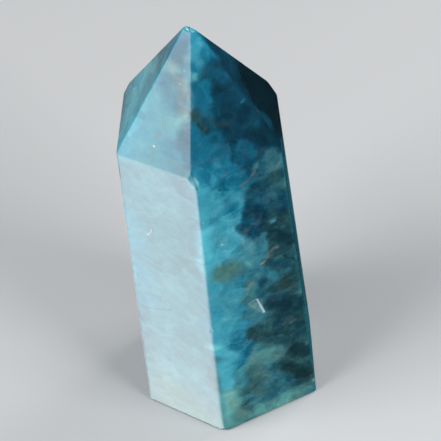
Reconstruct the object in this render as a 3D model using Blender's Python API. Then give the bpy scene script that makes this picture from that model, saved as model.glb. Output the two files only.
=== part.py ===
"""A polished six-sided wand of blue apatite, cut to a point and standing on its flat cut base.

The wand is one stone, so it is one object. It is made here as a cutter makes it: a rough block
is ground to one flat after another, and the polish then eases the edges that the flats leave.
The front ridge faces -Y, +Z runs up the wand, and the origin is the middle of the cut base.
All sizes are in metres and all angles in degrees.
"""

import math
from collections import namedtuple

import bmesh
import bpy
from mathutils import Vector

# Driving dimensions of the regular cut that the flats set out from
HALF_WIDTH = 0.01193  # from the axis to a side flat, at the base
SIDE_LEAN = 1.2  # how far a side flat leans in as it rises
CROWN_PITCH = 27.6  # how far a crown flat faces above the horizon
CROWN_TOP = 0.0755  # where a crown flat would cross the axis
SIDES = 6
FIRST_HEADING = -30.0  # the front left flat; 0 is -Y, and 90 is +X

# Edges as the polish leaves them: a sharp point, and a base rounded by handling
EASED_BASE = 0.00060
EASED_SIDE = 0.00036
EASED_CROWN = 0.00024
EASE_SEGMENTS = 4

# The point is ground blunt, and the front corner below the crown is bruised
TIP_HEIGHT = 0.0743
CHIP_DEPTH = 0.00013

ROUGH_WIDTH = 0.040  # the rough block, larger than the wand on every side
ROUGH_HEIGHT = 0.090
WELD = 0.00025  # corners closer than this are one corner
MATCH = 5e-5  # how close a point lies to a plane that it belongs to

# Each flat is cut by hand, so it strays a little from the regular cut.
# Side flats stray in heading, in distance from the axis and in lean.
# Crown flats stray in heading, in pitch and in the height where they cross the axis.
Flat = namedtuple("Flat", "name side_turn side_out side_lean crown_turn crown_pitch crown_top")
FLATS = (
    Flat("front_left", 1.0, 0.00015, 0.55, -1.5, 0.1, -0.0001),
    Flat("front_right", -2.3, -0.00040, 0.05, -4.5, -1.6, 0.0007),
    Flat("right", 4.8, 0.00015, 0.45, 11.5, -1.8, 0.0001),
    Flat("back_right", -0.5, 0.00015, 0.30, -0.2, 1.2, -0.0015),
    Flat("back_left", 0.0, -0.00015, 0.00, 0.3, 2.0, -0.0007),
    Flat("left", -2.0, -0.00010, -0.55, -4.6, 0.8, 0.0001),
)


def facing(heading, pitch):
    """The outward direction of a flat that faces a heading and is pitched up from the horizon."""
    turn, rise = math.radians(heading), math.radians(pitch)
    return Vector((
        math.sin(turn) * math.cos(rise),
        -math.cos(turn) * math.cos(rise),
        math.sin(rise),
    ))


def side_plane(number):
    """A point on a side flat, and its outward direction."""
    flat = FLATS[number]
    heading = FIRST_HEADING + number * 360 / SIDES + flat.side_turn
    foot = facing(heading, 0) * (HALF_WIDTH + flat.side_out)
    return foot, facing(heading, SIDE_LEAN + flat.side_lean)


def crown_plane(number):
    """A point on a crown flat, and its outward direction."""
    flat = FLATS[number]
    heading = FIRST_HEADING + number * 360 / SIDES + flat.crown_turn
    peak = Vector((0, 0, CROWN_TOP + flat.crown_top))
    return peak, facing(heading, CROWN_PITCH + flat.crown_pitch)


def meeting_point(*planes):
    """The one point that three planes share."""
    (p0, n0), (p1, n1), (p2, n2) = planes
    volume = n0.dot(n1.cross(n2))
    return (
        n1.cross(n2) * p0.dot(n0) + n2.cross(n0) * p1.dot(n1) + n0.cross(n1) * p2.dot(n2)
    ) / volume


def chip_plane():
    """The small bruise on the edge between the front left side and the front right crown."""
    side, crown = side_plane(0), crown_plane(1)
    upper = meeting_point(side, crown, crown_plane(0))
    lower = meeting_point(side, crown, side_plane(1))
    outward = (side[1] + crown[1]).normalized()
    return (upper + lower) / 2 - outward * CHIP_DEPTH, outward


def rough_block():
    """The block of rough stone, standing on the plane of the base."""
    stone = bmesh.new()
    bmesh.ops.create_cube(stone, size=1.0)
    for vert in stone.verts:
        vert.co.x *= ROUGH_WIDTH
        vert.co.y *= ROUGH_WIDTH
        vert.co.z = (vert.co.z + 0.5) * ROUGH_HEIGHT
    return stone


def grind(stone, plane):
    """Takes away all the stone beyond a plane, and closes the cut with one flat face."""
    point, outward = plane
    everything = stone.verts[:] + stone.edges[:] + stone.faces[:]
    cut = bmesh.ops.bisect_plane(
        stone, geom=everything, plane_co=point, plane_no=outward, clear_outer=True
    )
    rim = [part for part in cut["geom_cut"] if isinstance(part, bmesh.types.BMEdge)]
    bmesh.ops.edgeloop_fill(stone, edges=rim)


def edge_ease(edge):
    """How wide the polish makes an edge: by the base, along a side, or on the crown."""
    ends = [vert.co for vert in edge.verts]
    if all(co.z < MATCH for co in ends):
        return EASED_BASE
    for number in range(SIDES):
        point, outward = side_plane(number)
        on_side = all(abs((co - point).dot(outward)) < MATCH for co in ends)
        if on_side and min(co.z for co in ends) < MATCH:
            return EASED_SIDE
    return EASED_CROWN


def weigh_edges(stone):
    """Writes each edge's ease as a share of the widest, for the Bevel modifier."""
    weight = stone.edges.layers.float.new("bevel_weight_edge")
    for edge in stone.edges:
        edge[weight] = edge_ease(edge) / EASED_BASE


def blue_stone():
    """Polished blue apatite."""
    material = bpy.data.materials.new("blue_apatite")
    material.use_nodes = True
    shader = material.node_tree.nodes["Principled BSDF"]
    shader.inputs["Base Color"].default_value = (0.035, 0.235, 0.330, 1.0)
    shader.inputs["Roughness"].default_value = 0.08
    shader.inputs["Metallic"].default_value = 0.0
    shader.inputs["IOR"].default_value = 1.63
    return material


def make_wand():
    """The finished stone, as one object named wand."""
    stone = rough_block()
    for number in range(SIDES):
        grind(stone, side_plane(number))
    for number in range(SIDES):
        grind(stone, crown_plane(number))
    grind(stone, chip_plane())
    grind(stone, (Vector((0, 0, TIP_HEIGHT)), Vector((0, 0, 1))))
    bmesh.ops.remove_doubles(stone, verts=stone.verts[:], dist=WELD)
    weigh_edges(stone)
    bmesh.ops.recalc_face_normals(stone, faces=stone.faces[:])
    mesh = bpy.data.meshes.new("wand")
    stone.to_mesh(mesh)
    stone.free()
    mesh.materials.append(blue_stone())
    mesh.shade_smooth()
    wand = bpy.data.objects.new("wand", mesh)
    bpy.context.scene.collection.objects.link(wand)
    eased = wand.modifiers.new("eased_edges", "BEVEL")
    eased.limit_method = "WEIGHT"
    eased.width = EASED_BASE
    eased.segments = EASE_SEGMENTS
    eased.use_clamp_overlap = True
    eased.harden_normals = True
    return wand


for old in list(bpy.data.objects):
    bpy.data.objects.remove(old, do_unlink=True)
make_wand()
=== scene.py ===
import math

import bpy
import numpy as np
from mathutils import Matrix, Vector
from mathutils.bvhtree import BVHTree


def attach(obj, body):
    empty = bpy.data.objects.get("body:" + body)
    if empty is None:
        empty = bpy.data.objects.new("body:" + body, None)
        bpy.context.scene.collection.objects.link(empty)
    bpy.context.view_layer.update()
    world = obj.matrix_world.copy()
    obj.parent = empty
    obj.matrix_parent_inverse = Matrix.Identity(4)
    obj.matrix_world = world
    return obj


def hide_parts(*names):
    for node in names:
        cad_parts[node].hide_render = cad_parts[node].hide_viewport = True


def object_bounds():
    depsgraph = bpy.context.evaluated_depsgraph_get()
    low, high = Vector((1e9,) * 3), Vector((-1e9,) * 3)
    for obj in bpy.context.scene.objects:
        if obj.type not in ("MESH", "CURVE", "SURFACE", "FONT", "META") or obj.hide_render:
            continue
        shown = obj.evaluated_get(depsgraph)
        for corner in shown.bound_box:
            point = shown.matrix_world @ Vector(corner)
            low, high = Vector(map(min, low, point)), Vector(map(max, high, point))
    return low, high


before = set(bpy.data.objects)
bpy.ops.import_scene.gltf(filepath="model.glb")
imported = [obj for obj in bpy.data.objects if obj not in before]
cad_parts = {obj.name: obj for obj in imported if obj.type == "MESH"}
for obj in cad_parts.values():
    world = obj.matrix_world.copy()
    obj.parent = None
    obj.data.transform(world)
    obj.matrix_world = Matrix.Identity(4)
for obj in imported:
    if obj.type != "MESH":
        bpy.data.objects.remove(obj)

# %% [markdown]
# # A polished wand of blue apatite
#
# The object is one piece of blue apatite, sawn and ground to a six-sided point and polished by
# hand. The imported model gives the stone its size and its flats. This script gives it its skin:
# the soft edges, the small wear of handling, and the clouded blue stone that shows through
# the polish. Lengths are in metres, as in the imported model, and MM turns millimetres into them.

MM = 0.001
cad_low, cad_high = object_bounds()
stone_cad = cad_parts["wand"]
HEIGHT = cad_high[2]
print("packed size in mm:", [round((b - a) / MM, 1) for a, b in zip(cad_low, cad_high)])

# %% [markdown]
# ## The camera
#
# The photo looks down on the wand from the front, at about fifty degrees, and the picture is
# turned a little, so that the wand leans to the left. A camera could be placed by eye, but here
# its angles were fitted to the corners of the stone. The view is close to parallel, so
# a long lens from far away gives it.

# %% Place the camera
PHOTO_SIZE = 441  # pixels, each way
CAMERA_AZIMUTH = math.radians(7.26)  # from -Y towards +X
CAMERA_ELEVATION = math.radians(50.90)
CAMERA_ROLL = math.radians(-7.30)
CAMERA_DISTANCE = 450 * MM
FOCAL_PIXELS = 3172.6
AIM_HEIGHT = 33.04 * MM
AIM_RIGHT = 0.85 * MM

across = Vector((math.cos(CAMERA_AZIMUTH), math.sin(CAMERA_AZIMUTH), 0))
backward = Vector((
    math.sin(CAMERA_AZIMUTH) * math.cos(CAMERA_ELEVATION),
    -math.cos(CAMERA_AZIMUTH) * math.cos(CAMERA_ELEVATION),
    math.sin(CAMERA_ELEVATION),
))
upward = backward.cross(across)
picture_right = across * math.cos(CAMERA_ROLL) + upward * math.sin(CAMERA_ROLL)
picture_up = upward * math.cos(CAMERA_ROLL) - across * math.sin(CAMERA_ROLL)
eye = Vector((0, 0, AIM_HEIGHT)) + across * AIM_RIGHT + backward * CAMERA_DISTANCE

lens = bpy.data.cameras.new("photo_camera")
lens.sensor_width = 36.0
lens.lens = lens.sensor_width * FOCAL_PIXELS / PHOTO_SIZE
lens.clip_start = 10 * MM
lens.clip_end = 5.0
camera = bpy.data.objects.new("photo_camera", lens)
camera.matrix_world = Matrix((
    (picture_right.x, picture_up.x, backward.x, eye.x),
    (picture_right.y, picture_up.y, backward.y, eye.y),
    (picture_right.z, picture_up.z, backward.z, eye.z),
    (0, 0, 0, 1),
))
bpy.context.scene.collection.objects.link(camera)
bpy.context.scene.camera = camera
print("lens in mm:", round(lens.lens, 1))

# %% [markdown]
# ## Reading the flats
#
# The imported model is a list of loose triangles. The flats that the cutter ground can be read
# back from it: triangles that share a plane belong to one flat, and the large planes are the
# six sides, the six crown flats and the base. Reading them keeps this skin on the solid,
# whatever its sizes are.

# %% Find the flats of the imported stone
FLAT_AREA = 20 * MM * MM  # every real flat is larger, and every strip of an eased edge smaller
SAME_TURN = 0.99999
SAME_PLANE = 0.02 * MM
UPRIGHT = 0.2  # a side faces up by less than this
SLOPING = 0.3  # a crown flat faces up by more than this
NAMES = ("front_left", "front_right", "right", "back_right", "back_left", "left")

def flats_of(mesh):
    """The large planes of a mesh, each as (area, outward direction, distance from the origin)."""
    mesh.calc_loop_triangles()
    found = []
    for triangle in sorted(mesh.loop_triangles, key=lambda t: -t.area):
        outward = triangle.normal.copy()
        reach = outward.dot(mesh.vertices[triangle.vertices[0]].co)
        for flat in found:
            if flat[1].dot(outward) > SAME_TURN and abs(flat[2] - reach) < SAME_PLANE:
                flat[0] += triangle.area
                break
        else:
            found.append([triangle.area, outward, reach])
    return [flat for flat in found if flat[0] > FLAT_AREA]

def heading(outward):
    """The compass heading of a direction: 0 is -Y and 90 is +X, and the front left is -30."""
    turn = math.degrees(math.atan2(outward.x, -outward.y))
    return turn if turn > -60 else turn + 360

flats = flats_of(stone_cad.data)
sides = sorted((f for f in flats if abs(f[1].z) < UPRIGHT), key=lambda f: heading(f[1]))
crown = sorted((f for f in flats if f[1].z > SLOPING), key=lambda f: heading(f[1]))
for name, side, top in zip(NAMES, sides, crown):
    print(f"{name}: side {side[0] / MM ** 2:.0f} mm2, crown {top[0] / MM ** 2:.0f} mm2")

# %% [markdown]
# ## Laying out the blank
#
# A stone of this shape could be beveled and subdivided, but long flats then get long thin
# faces. Instead the stone starts as a blank, a rod of rings and columns of points that is
# thicker than the stone. The columns are laid out to end up on the ridges, the rings follow
# the line where the sides meet the crown, and both crowd together where an edge will be. Grinding
# then only has to move each point straight in to the nearest flat.

# %% Work out where the ridges run
SIDE_FACING = np.array([f[1] for f in sides])
SIDE_REACH = np.array([f[2] for f in sides])
CROWN_FACING = np.array([f[1] for f in crown])
CROWN_REACH = np.array([f[2] for f in crown])
COUNT = len(NAMES)

def corner(facing, reach, ridge, height):
    """Where two neighbouring flats meet at a height, as x and y. Heights may be an array."""
    a, b = facing[ridge], facing[(ridge + 1) % COUNT]
    p = reach[ridge] - a[2] * height
    q = reach[(ridge + 1) % COUNT] - b[2] * height
    spread = a[0] * b[1] - a[1] * b[0]
    return (p * b[1] - q * a[1]) / spread, (q * a[0] - p * b[0]) / spread

tip_corners = np.array([corner(CROWN_FACING, CROWN_REACH, r, HEIGHT) for r in range(COUNT)])
SPINE = tip_corners.mean(0) / HEIGHT  # the middle line leans from the base's middle to the tip's
print("middle of the tip in mm:", (SPINE * HEIGHT / MM).round(2))

def ridge_end(ridge, facing, reach, cutting, cut_reach, lowest):
    """The height where a ridge of one set of flats is cut off by the flats of the other set."""
    low = np.array([*corner(facing, reach, ridge, 0.0), 0.0])
    high = np.array([*corner(facing, reach, ridge, HEIGHT), HEIGHT])
    along = cutting @ (high - low)
    cuts = (cut_reach - cutting @ low) / along * HEIGHT
    if lowest:
        return min(cuts[along > 0])
    return max(cuts[along < 0])

def ridge_angle(ridge, height):
    """The angle of a ridge about the middle line, at one height or at many."""
    below = ridge_end(ridge, SIDE_FACING, SIDE_REACH, CROWN_FACING, CROWN_REACH, True)
    above = ridge_end(ridge, CROWN_FACING, CROWN_REACH, SIDE_FACING, SIDE_REACH, False)
    above = max(above, below + 0.1 * MM)
    side_x, side_y = corner(SIDE_FACING, SIDE_REACH, ridge, np.minimum(height, below))
    crown_x, crown_y = corner(CROWN_FACING, CROWN_REACH, ridge, np.maximum(height, above))
    share = np.clip((height - below) / (above - below), 0, 1)
    x = side_x * (1 - share) + crown_x * share - SPINE[0] * height
    y = side_y * (1 - share) + crown_y * share - SPINE[1] * height
    return np.arctan2(x, -y)

# %% [markdown]
# The edges of a polished stone are only a few tenths of a millimetre wide, while its flats are
# centimetres long. Even spacing would spend nearly all the points on the flats. The columns
# and the rings crowd together at the edges instead, and open out between them.

# %% Space the columns and the rings
COLUMNS = 48  # across each side
BODY_RINGS = 176
CROWN_RINGS = 88
ROUND_RINGS = 7  # on the rounded rim of the base, and again on that of the tip
DISC_RINGS = 12  # across the base
BASE_EASE = 0.55 * MM
TIP_EASE = 0.40 * MM
GRAZING = 0.02  # a flat that faces away counts as seen at this slope, which puts it far off
SHOULDER_SPAN = (0.4, 0.95)  # the shares of the height between which the shoulder lies
HALVINGS = 40  # of that span, to find it

def spaced(count, tight_start, tight_end, width):
    """Shares from 0 to 1, with steps that shrink to a part of the usual one near the ends."""
    place = (np.arange(count) + 0.5) / count
    step = 1 - (1 - tight_start) * np.exp(-((place / width) ** 2))
    step = step - (1 - tight_end) * np.exp(-(((1 - place) / width) ** 2))
    return np.concatenate([[0.0], np.cumsum(step) / step.sum()])

def column_angles(height):
    """The angle of every column, for an array of heights that has one for each column."""
    share = np.tile(spaced(COLUMNS, 0.3, 0.3, 0.10)[:-1], COUNT)
    sector = np.repeat(np.arange(COUNT), COLUMNS)
    ridges = np.array([ridge_angle(r, height) for r in range(COUNT)])
    here = np.arange(COUNT * COLUMNS)
    start = ridges[(sector - 1) % COUNT, here]
    end = ridges[sector, here]
    return start + np.mod(end - start, 2 * math.pi) * share

def reach_of(facing, reach, angle, height):
    """How far from the middle line the nearest flat of a set is, at an angle and a height."""
    along = np.stack([np.sin(angle), -np.cos(angle)])
    slope = np.maximum(facing[:, :2] @ along, GRAZING)
    room = reach[:, None] - np.outer(facing[:, :2] @ SPINE + facing[:, 2], height)
    return (room / slope).min(0)

def shoulder():
    """The height where the side meets the crown, for each column."""
    low, high = (np.full(COUNT * COLUMNS, share * HEIGHT) for share in SHOULDER_SPAN)
    for _ in range(HALVINGS):
        middle = (low + high) / 2
        angle = column_angles(middle)
        side = reach_of(SIDE_FACING, SIDE_REACH, angle, middle)
        top = reach_of(CROWN_FACING, CROWN_REACH, angle, middle)
        low = np.where(side < top, middle, low)
        high = np.where(side < top, high, middle)
    return (low + high) / 2

border = shoulder()
print("shoulder between", round(border.min() / MM, 1), "and", round(border.max() / MM, 1), "mm")

# %% [markdown]
# The blank is closed at both ends, like a sawn rod. Its points lie well outside the stone, as the
# rough is larger than the finished piece. A mesh that is drawn at the final size would need to
# know about every edge. This one leaves all the cutting to the grinding tree.

# %% Build the blank
BLANK_RADIUS = 18 * MM
BASE_DISC = 11 * MM
TIP_DISC = 0.08 * MM

def rings():
    """Each ring as (heights of its points, radius of the blank there)."""
    flat = np.ones_like(border)
    made = []
    for share in np.linspace(0, 1, DISC_RINGS)[1:]:
        made.append((flat * 0.0, share * BASE_DISC))
    for turn in np.linspace(0, math.pi / 2, ROUND_RINGS):
        made.append((flat * BASE_EASE * (1 - math.cos(turn)), BLANK_RADIUS))
    for share in spaced(BODY_RINGS, 0.6, 0.3, 0.04)[1:]:
        made.append((BASE_EASE + (border - BASE_EASE) * share, BLANK_RADIUS))
    crown_top = HEIGHT - TIP_EASE
    for share in spaced(CROWN_RINGS, 0.3, 0.4, 0.06)[1:]:
        made.append((border + (crown_top - border) * share, BLANK_RADIUS))
    for turn in np.linspace(math.pi / 2, 0, ROUND_RINGS)[1:]:
        made.append((flat * (HEIGHT - TIP_EASE * (1 - math.cos(turn))), BLANK_RADIUS))
    made.append((flat * HEIGHT, TIP_DISC))
    return made

def blank_mesh():
    """The rod of rings and columns, closed by a middle point at each end."""
    points = [np.zeros((1, 3))]
    for height, radius in rings():
        angle = column_angles(height)
        x = SPINE[0] * height + np.sin(angle) * radius
        y = SPINE[1] * height - np.cos(angle) * radius
        points.append(np.stack([x, y, height], 1))
    points.append(np.array([[SPINE[0] * HEIGHT, SPINE[1] * HEIGHT, HEIGHT]]))
    points = np.concatenate(points)
    around = COUNT * COLUMNS
    loops = (len(points) - 2) // around
    first = 1 + np.arange(around)
    following = 1 + (np.arange(around) + 1) % around
    faces = [(0, b, a) for a, b in zip(first.tolist(), following.tolist())]
    for loop in range(loops - 1):
        a = (first + loop * around).tolist()
        b = (following + loop * around).tolist()
        faces += [(p, q, q + around, p + around) for p, q in zip(a, b)]
    last = (loops - 1) * around
    end = len(points) - 1
    faces += [(p, q, end) for p, q in zip((first + last).tolist(), (following + last).tolist())]
    mesh = bpy.data.meshes.new("wand_stone")
    mesh.from_pydata(points.tolist(), [], faces)
    mesh.shade_smooth()
    return mesh

blank = bpy.data.objects.new("wand_stone", blank_mesh())
bpy.context.scene.collection.objects.link(blank)
print("blank:", len(blank.data.vertices), "points,", len(blank.data.polygons), "faces")

# %% [markdown]
# ## Node helpers
#
# Geometry Nodes and shader nodes are both built below by script. A few small helpers keep that
# readable: they fill a socket with a value or a link, or add a math node and return its
# result, so that a formula in nodes reads like a formula.

# %% Helpers for node trees
def fill(tree, socket, value):
    """Links a socket to another one, or gives it a plain value."""
    if isinstance(value, bpy.types.NodeSocket):
        tree.links.new(value, socket)
    else:
        socket.default_value = value

def add(tree, kind, inputs=None, **options):
    """Adds a node, sets its options and fills its inputs, which are given by name or number."""
    made = tree.nodes.new(kind)
    for name, value in options.items():
        setattr(made, name, value)
    for key, value in (inputs or {}).items():
        fill(tree, made.inputs[key], value)
    return made

def calc(tree, operation, *values):
    """A Math node, and its result."""
    made = add(tree, "ShaderNodeMath", dict(enumerate(values)), operation=operation)
    return made.outputs[0]

def vector(tree, operation, *values):
    """A Vector Math node, and its result, which is a number for a dot product or a length."""
    made = add(tree, "ShaderNodeVectorMath", operation=operation)
    for number, value in enumerate(values):
        key = "Scale" if operation == "SCALE" and number == 1 else number
        fill(tree, made.inputs[key], value)
    gives_number = operation in ("DOT_PRODUCT", "LENGTH", "DISTANCE")
    return made.outputs["Value" if gives_number else "Vector"]

def product(tree, first, *others):
    """All the values multiplied together."""
    for other in others:
        first = calc(tree, "MULTIPLY", first, other)
    return first

def ramp(tree, value, low, high, bottom=0.0, top=1.0, curve="SMOOTHSTEP"):
    """A Map Range node: value runs from low to high, and the result from bottom to top."""
    # A smooth step keeps to its ends by itself. With a clamp, the renderer would have to keep
    # the values of all the zones at once, and that is more than it can.
    made = add(tree, "ShaderNodeMapRange", interpolation_type=curve, clamp=curve == "LINEAR")
    labels = ("Value", "From Min", "From Max", "To Min", "To Max")
    for label, given in zip(labels, (value, low, high, bottom, top)):
        fill(tree, made.inputs[label], given)
    return made.outputs["Result"]

# %% [markdown]
# ## Grinding and polishing
#
# On a lapping wheel each flat takes away all the stone beyond it. The node tree does the same:
# for every point of the blank it finds how far out each flat lies along the line from the
# middle, and keeps the smallest. A smooth minimum in place of a plain one leaves the
# soft edge that polishing gives. The flats are inputs of the tree, and so are the widths of
# the edges and the depths of the small damage, so the same tree would cut any other point.

# %% The bruised corner, where the front ridge meets the crown
CHIP_DEPTH = 0.22 * MM
chip_facing = (sides[0][1] + crown[1][1]).normalized()

def shared_point(*planes):
    """The one point where three flats meet."""
    return Vector(np.linalg.solve([p[1] for p in planes], [p[2] for p in planes]))

chip_top = shared_point(sides[0], crown[1], crown[0])
chip_foot = shared_point(sides[0], crown[1], sides[1])
chip_reach = chip_facing.dot((chip_top + chip_foot) / 2) - CHIP_DEPTH
print("bruised corner at", ((chip_top + chip_foot) / 2 / MM).to_tuple(1))

# %% [markdown]
# A cutter sets each flat by its direction and its depth, so these are inputs of the tree. The
# widths of the edges and the depths of the ripples, nicks and pits are inputs too, each with
# the value that this stone gives it. Another wand needs other numbers, and no other tree.

# %% Describe the inputs of the grinding tree
grinding = bpy.data.node_groups.new("grind_and_polish", "GeometryNodeTree")
grinding.interface.new_socket("Geometry", in_out="INPUT", socket_type="NodeSocketGeometry")
grinding.interface.new_socket("Geometry", in_out="OUTPUT", socket_type="NodeSocketGeometry")
tree_values = {}

def tree_input(label, kind, value):
    """Adds a named input to the grinding tree, and notes the value that this stone gives it."""
    socket = grinding.interface.new_socket(label, in_out="INPUT", socket_type=kind)
    tree_values[socket.identifier] = value
    return label

FLOAT, VECTOR, MATERIAL = "NodeSocketFloat", "NodeSocketVector", "NodeSocketMaterial"
for name, side, top in zip(NAMES, sides, crown):
    tree_input(f"{name} side facing", VECTOR, side[1])
    tree_input(f"{name} side reach", FLOAT, side[2])
    tree_input(f"{name} crown facing", VECTOR, top[1])
    tree_input(f"{name} crown reach", FLOAT, top[2])
for label, kind, value in (
    ("Height", FLOAT, HEIGHT), ("Spine Lean", VECTOR, Vector((SPINE[0], SPINE[1], 1.0))),
    ("Base Ease", FLOAT, BASE_EASE), ("Tip Ease", FLOAT, TIP_EASE),
):
    tree_input(label, kind, value)
# Edge widths in mm, each one where a flat meets the one before it. The front ridge is worn most
SIDE_EDGES_FOOT = (0.7, 1.5, 0.5, 0.7, 0.7, 0.5)
SIDE_EDGES_TOP = (0.3, 0.6, 0.25, 0.3, 0.3, 0.25)
CROWN_EDGES = (0.26, 0.26, 1.3, 0.4, 0.4, 0.3)
for name, foot, top, edge in zip(NAMES, SIDE_EDGES_FOOT, SIDE_EDGES_TOP, CROWN_EDGES):
    tree_input(f"{name} side edge foot", FLOAT, foot * MM)
    tree_input(f"{name} side edge top", FLOAT, top * MM)
    tree_input(f"{name} crown edge", FLOAT, edge * MM)
for label, kind, value in (
    ("Shoulder Edge", FLOAT, 0.13 * MM), ("Chip Facing", VECTOR, chip_facing),
    ("Chip Reach", FLOAT, chip_reach), ("Ripple Depth", FLOAT, 0.012 * MM),
    ("Ripple Size", FLOAT, 7.0 * MM), ("Nick Depth", FLOAT, 0.16 * MM),
    ("Pit Depth", FLOAT, 0.05 * MM), ("Pit Spacing", FLOAT, 5.0 * MM),
    ("Seed", FLOAT, 3.0), ("Stone", MATERIAL, None),
):
    tree_input(label, kind, value)
print(len(tree_values), "inputs")

# %% [markdown]
# Two flats meet in a sharp edge until the polishing cloth rounds it. A bevel could round it
# after the cutting, with the same width all along. A smooth minimum rounds each edge by a
# width of its own, so the front ridge, which the hand touches most, comes out softest.

# %% Find the ground surface
CHIP_EDGE = 0.05 * MM
FOOT_TO_TOP = 0.72  # the share of the height over which the edges of the sides narrow
given = add(grinding, "NodeGroupInput").outputs
position = add(grinding, "GeometryNodeInputPosition").outputs[0]
height = add(grinding, "ShaderNodeSeparateXYZ", {0: position}).outputs["Z"]
middle = vector(grinding, "SCALE", given["Spine Lean"], height)
offset = vector(grinding, "SUBTRACT", position, middle)
outward = vector(grinding, "NORMALIZE", offset)
blank_reach = vector(grinding, "LENGTH", offset)

def flat_reach(facing, reach):
    """How far from the middle line a flat lies, along this point's own outward direction."""
    slope = vector(grinding, "DOT_PRODUCT", facing, outward)
    room = calc(grinding, "SUBTRACT", reach, vector(grinding, "DOT_PRODUCT", facing, middle))
    return calc(grinding, "DIVIDE", room, calc(grinding, "MAXIMUM", slope, GRAZING))

up_share = calc(grinding, "DIVIDE", height, given["Height"])

def edge_width(name, part):
    """How wide the edge is between a flat and the one before it. A side's changes with height."""
    if part == "crown":
        return given[f"{name} crown edge"]
    foot, top = given[f"{name} side edge foot"], given[f"{name} side edge top"]
    return ramp(grinding, up_share, 0.0, FOOT_TO_TOP, foot, top, "LINEAR")

def nearest(part, operation):
    """The nearest of the six flats of a part."""
    best = None
    for name in NAMES:
        here = flat_reach(given[f"{name} {part} facing"], given[f"{name} {part} reach"])
        if best is None:
            best = here
        elif operation == "SMOOTH_MIN":
            best = calc(grinding, operation, best, here, edge_width(name, part))
        else:
            best = calc(grinding, operation, best, here)
    return best

soft_side = nearest("side", "SMOOTH_MIN")
soft_crown = nearest("crown", "SMOOTH_MIN")
soft = calc(grinding, "SMOOTH_MIN", soft_side, soft_crown, given["Shoulder Edge"])
chip = flat_reach(given["Chip Facing"], given["Chip Reach"])
soft = calc(grinding, "SMOOTH_MIN", soft, chip, CHIP_EDGE)
hard = calc(grinding, "MINIMUM", nearest("side", "MINIMUM"), nearest("crown", "MINIMUM"))
edge_loss = calc(grinding, "SUBTRACT", hard, soft)
print("ground surface:", len(grinding.nodes), "nodes so far")

# %% [markdown]
# The rim of the base is rounded so that it doesn't chip when the wand is set down, and the small
# flat that blunts the tip is rounded with it. Both ends draw in along a quarter circle.

# %% Round the rim of the base and the tip
def rim_ease(distance, ease):
    """How far a quarter-round rim has drawn in, at a distance from its flat end."""
    left = calc(grinding, "SUBTRACT", 1.0, calc(grinding, "DIVIDE", distance, ease))
    left = calc(grinding, "MINIMUM", calc(grinding, "MAXIMUM", left, 0.0), 1.0)
    square = product(grinding, left, left)
    arc = calc(grinding, "SQRT", calc(grinding, "SUBTRACT", 1.0, square))
    return product(grinding, ease, calc(grinding, "SUBTRACT", 1.0, arc))

from_tip = calc(grinding, "SUBTRACT", given["Height"], height)
at_base = rim_ease(height, given["Base Ease"])
drawn_in = calc(grinding, "ADD", at_base, rim_ease(from_tip, given["Tip Ease"]))
print("rims rounded by", round(BASE_EASE / MM, 2), "and", round(TIP_EASE / MM, 2), "mm")

# %% [markdown]
# Polishing by hand leaves a flat a few hundredths of a millimetre out of true, which bends what
# it mirrors. The edges have small nicks, and a few pits stay open where a grain fell out.
# Noise gives all three. The nicks keep to the edges, because they are let in only where the
# rounding has taken something away.

# %% Add what handling does to a polished stone
NICK_SIZE = 1.3 * MM
ground = vector(grinding, "ADD", middle, vector(grinding, "SCALE", outward, soft))
seeded = vector(grinding, "ADD", ground, vector(
    grinding, "SCALE", (0.013, 0.029, 0.017), given["Seed"]
))

def noise(size, detail):
    """Soft noise from 0 to 1 over the surface, with bumps of about the given size."""
    made = add(grinding, "ShaderNodeTexNoise", {
        "Vector": seeded, "Scale": calc(grinding, "DIVIDE", 1.0, size), "Detail": detail,
    })
    return made.outputs[0]

ripple = product(grinding, noise(given["Ripple Size"], 1.0), given["Ripple Depth"])
on_edge = ramp(grinding, edge_loss, 0.01 * MM, 0.05 * MM)
nick = ramp(grinding, noise(NICK_SIZE, 3.0), 0.64, 0.78, 0.0, given["Nick Depth"])
nick = product(grinding, nick, on_edge)
cells = add(grinding, "ShaderNodeTexVoronoi", {
    "Vector": seeded, "Scale": calc(grinding, "DIVIDE", 1.0, given["Pit Spacing"]),
})
drawn = add(grinding, "ShaderNodeSeparateXYZ", {0: cells.outputs["Color"]}).outputs[0]
pit_size = ramp(grinding, drawn, 0.55, 1.0, 0.001, 0.11, "LINEAR")  # next to nothing in most cells
from_pit = calc(grinding, "DIVIDE", cells.outputs["Distance"], pit_size)
pit = product(grinding, ramp(grinding, from_pit, 0.3, 1.0, 1.0, 0.0), given["Pit Depth"])
worn = calc(grinding, "ADD", ripple, calc(grinding, "ADD", nick, pit))
print("wear added:", len(grinding.nodes), "nodes so far")

# %% [markdown]
# Each point moves straight in along its own direction, to where the grinding stops. The tree
# ends with real geometry that carries the stone's material.

# %% Move the points and hand the stone on
polished = calc(grinding, "SUBTRACT", calc(grinding, "SUBTRACT", soft, drawn_in), worn)
polished = calc(grinding, "MINIMUM", polished, blank_reach)
place = vector(grinding, "ADD", middle, vector(grinding, "SCALE", outward, polished))
moved = add(grinding, "GeometryNodeSetPosition", {
    "Geometry": given["Geometry"], "Position": place,
}).outputs[0]
real = add(grinding, "GeometryNodeRealizeInstances", {"Geometry": moved}).outputs[0]
coated = add(grinding, "GeometryNodeSetMaterial", {
    "Geometry": real, "Material": given["Stone"],
}).outputs[0]
add(grinding, "NodeGroupOutput", {"Geometry": coated})
print("grinding tree:", len(grinding.nodes), "nodes")
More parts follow.
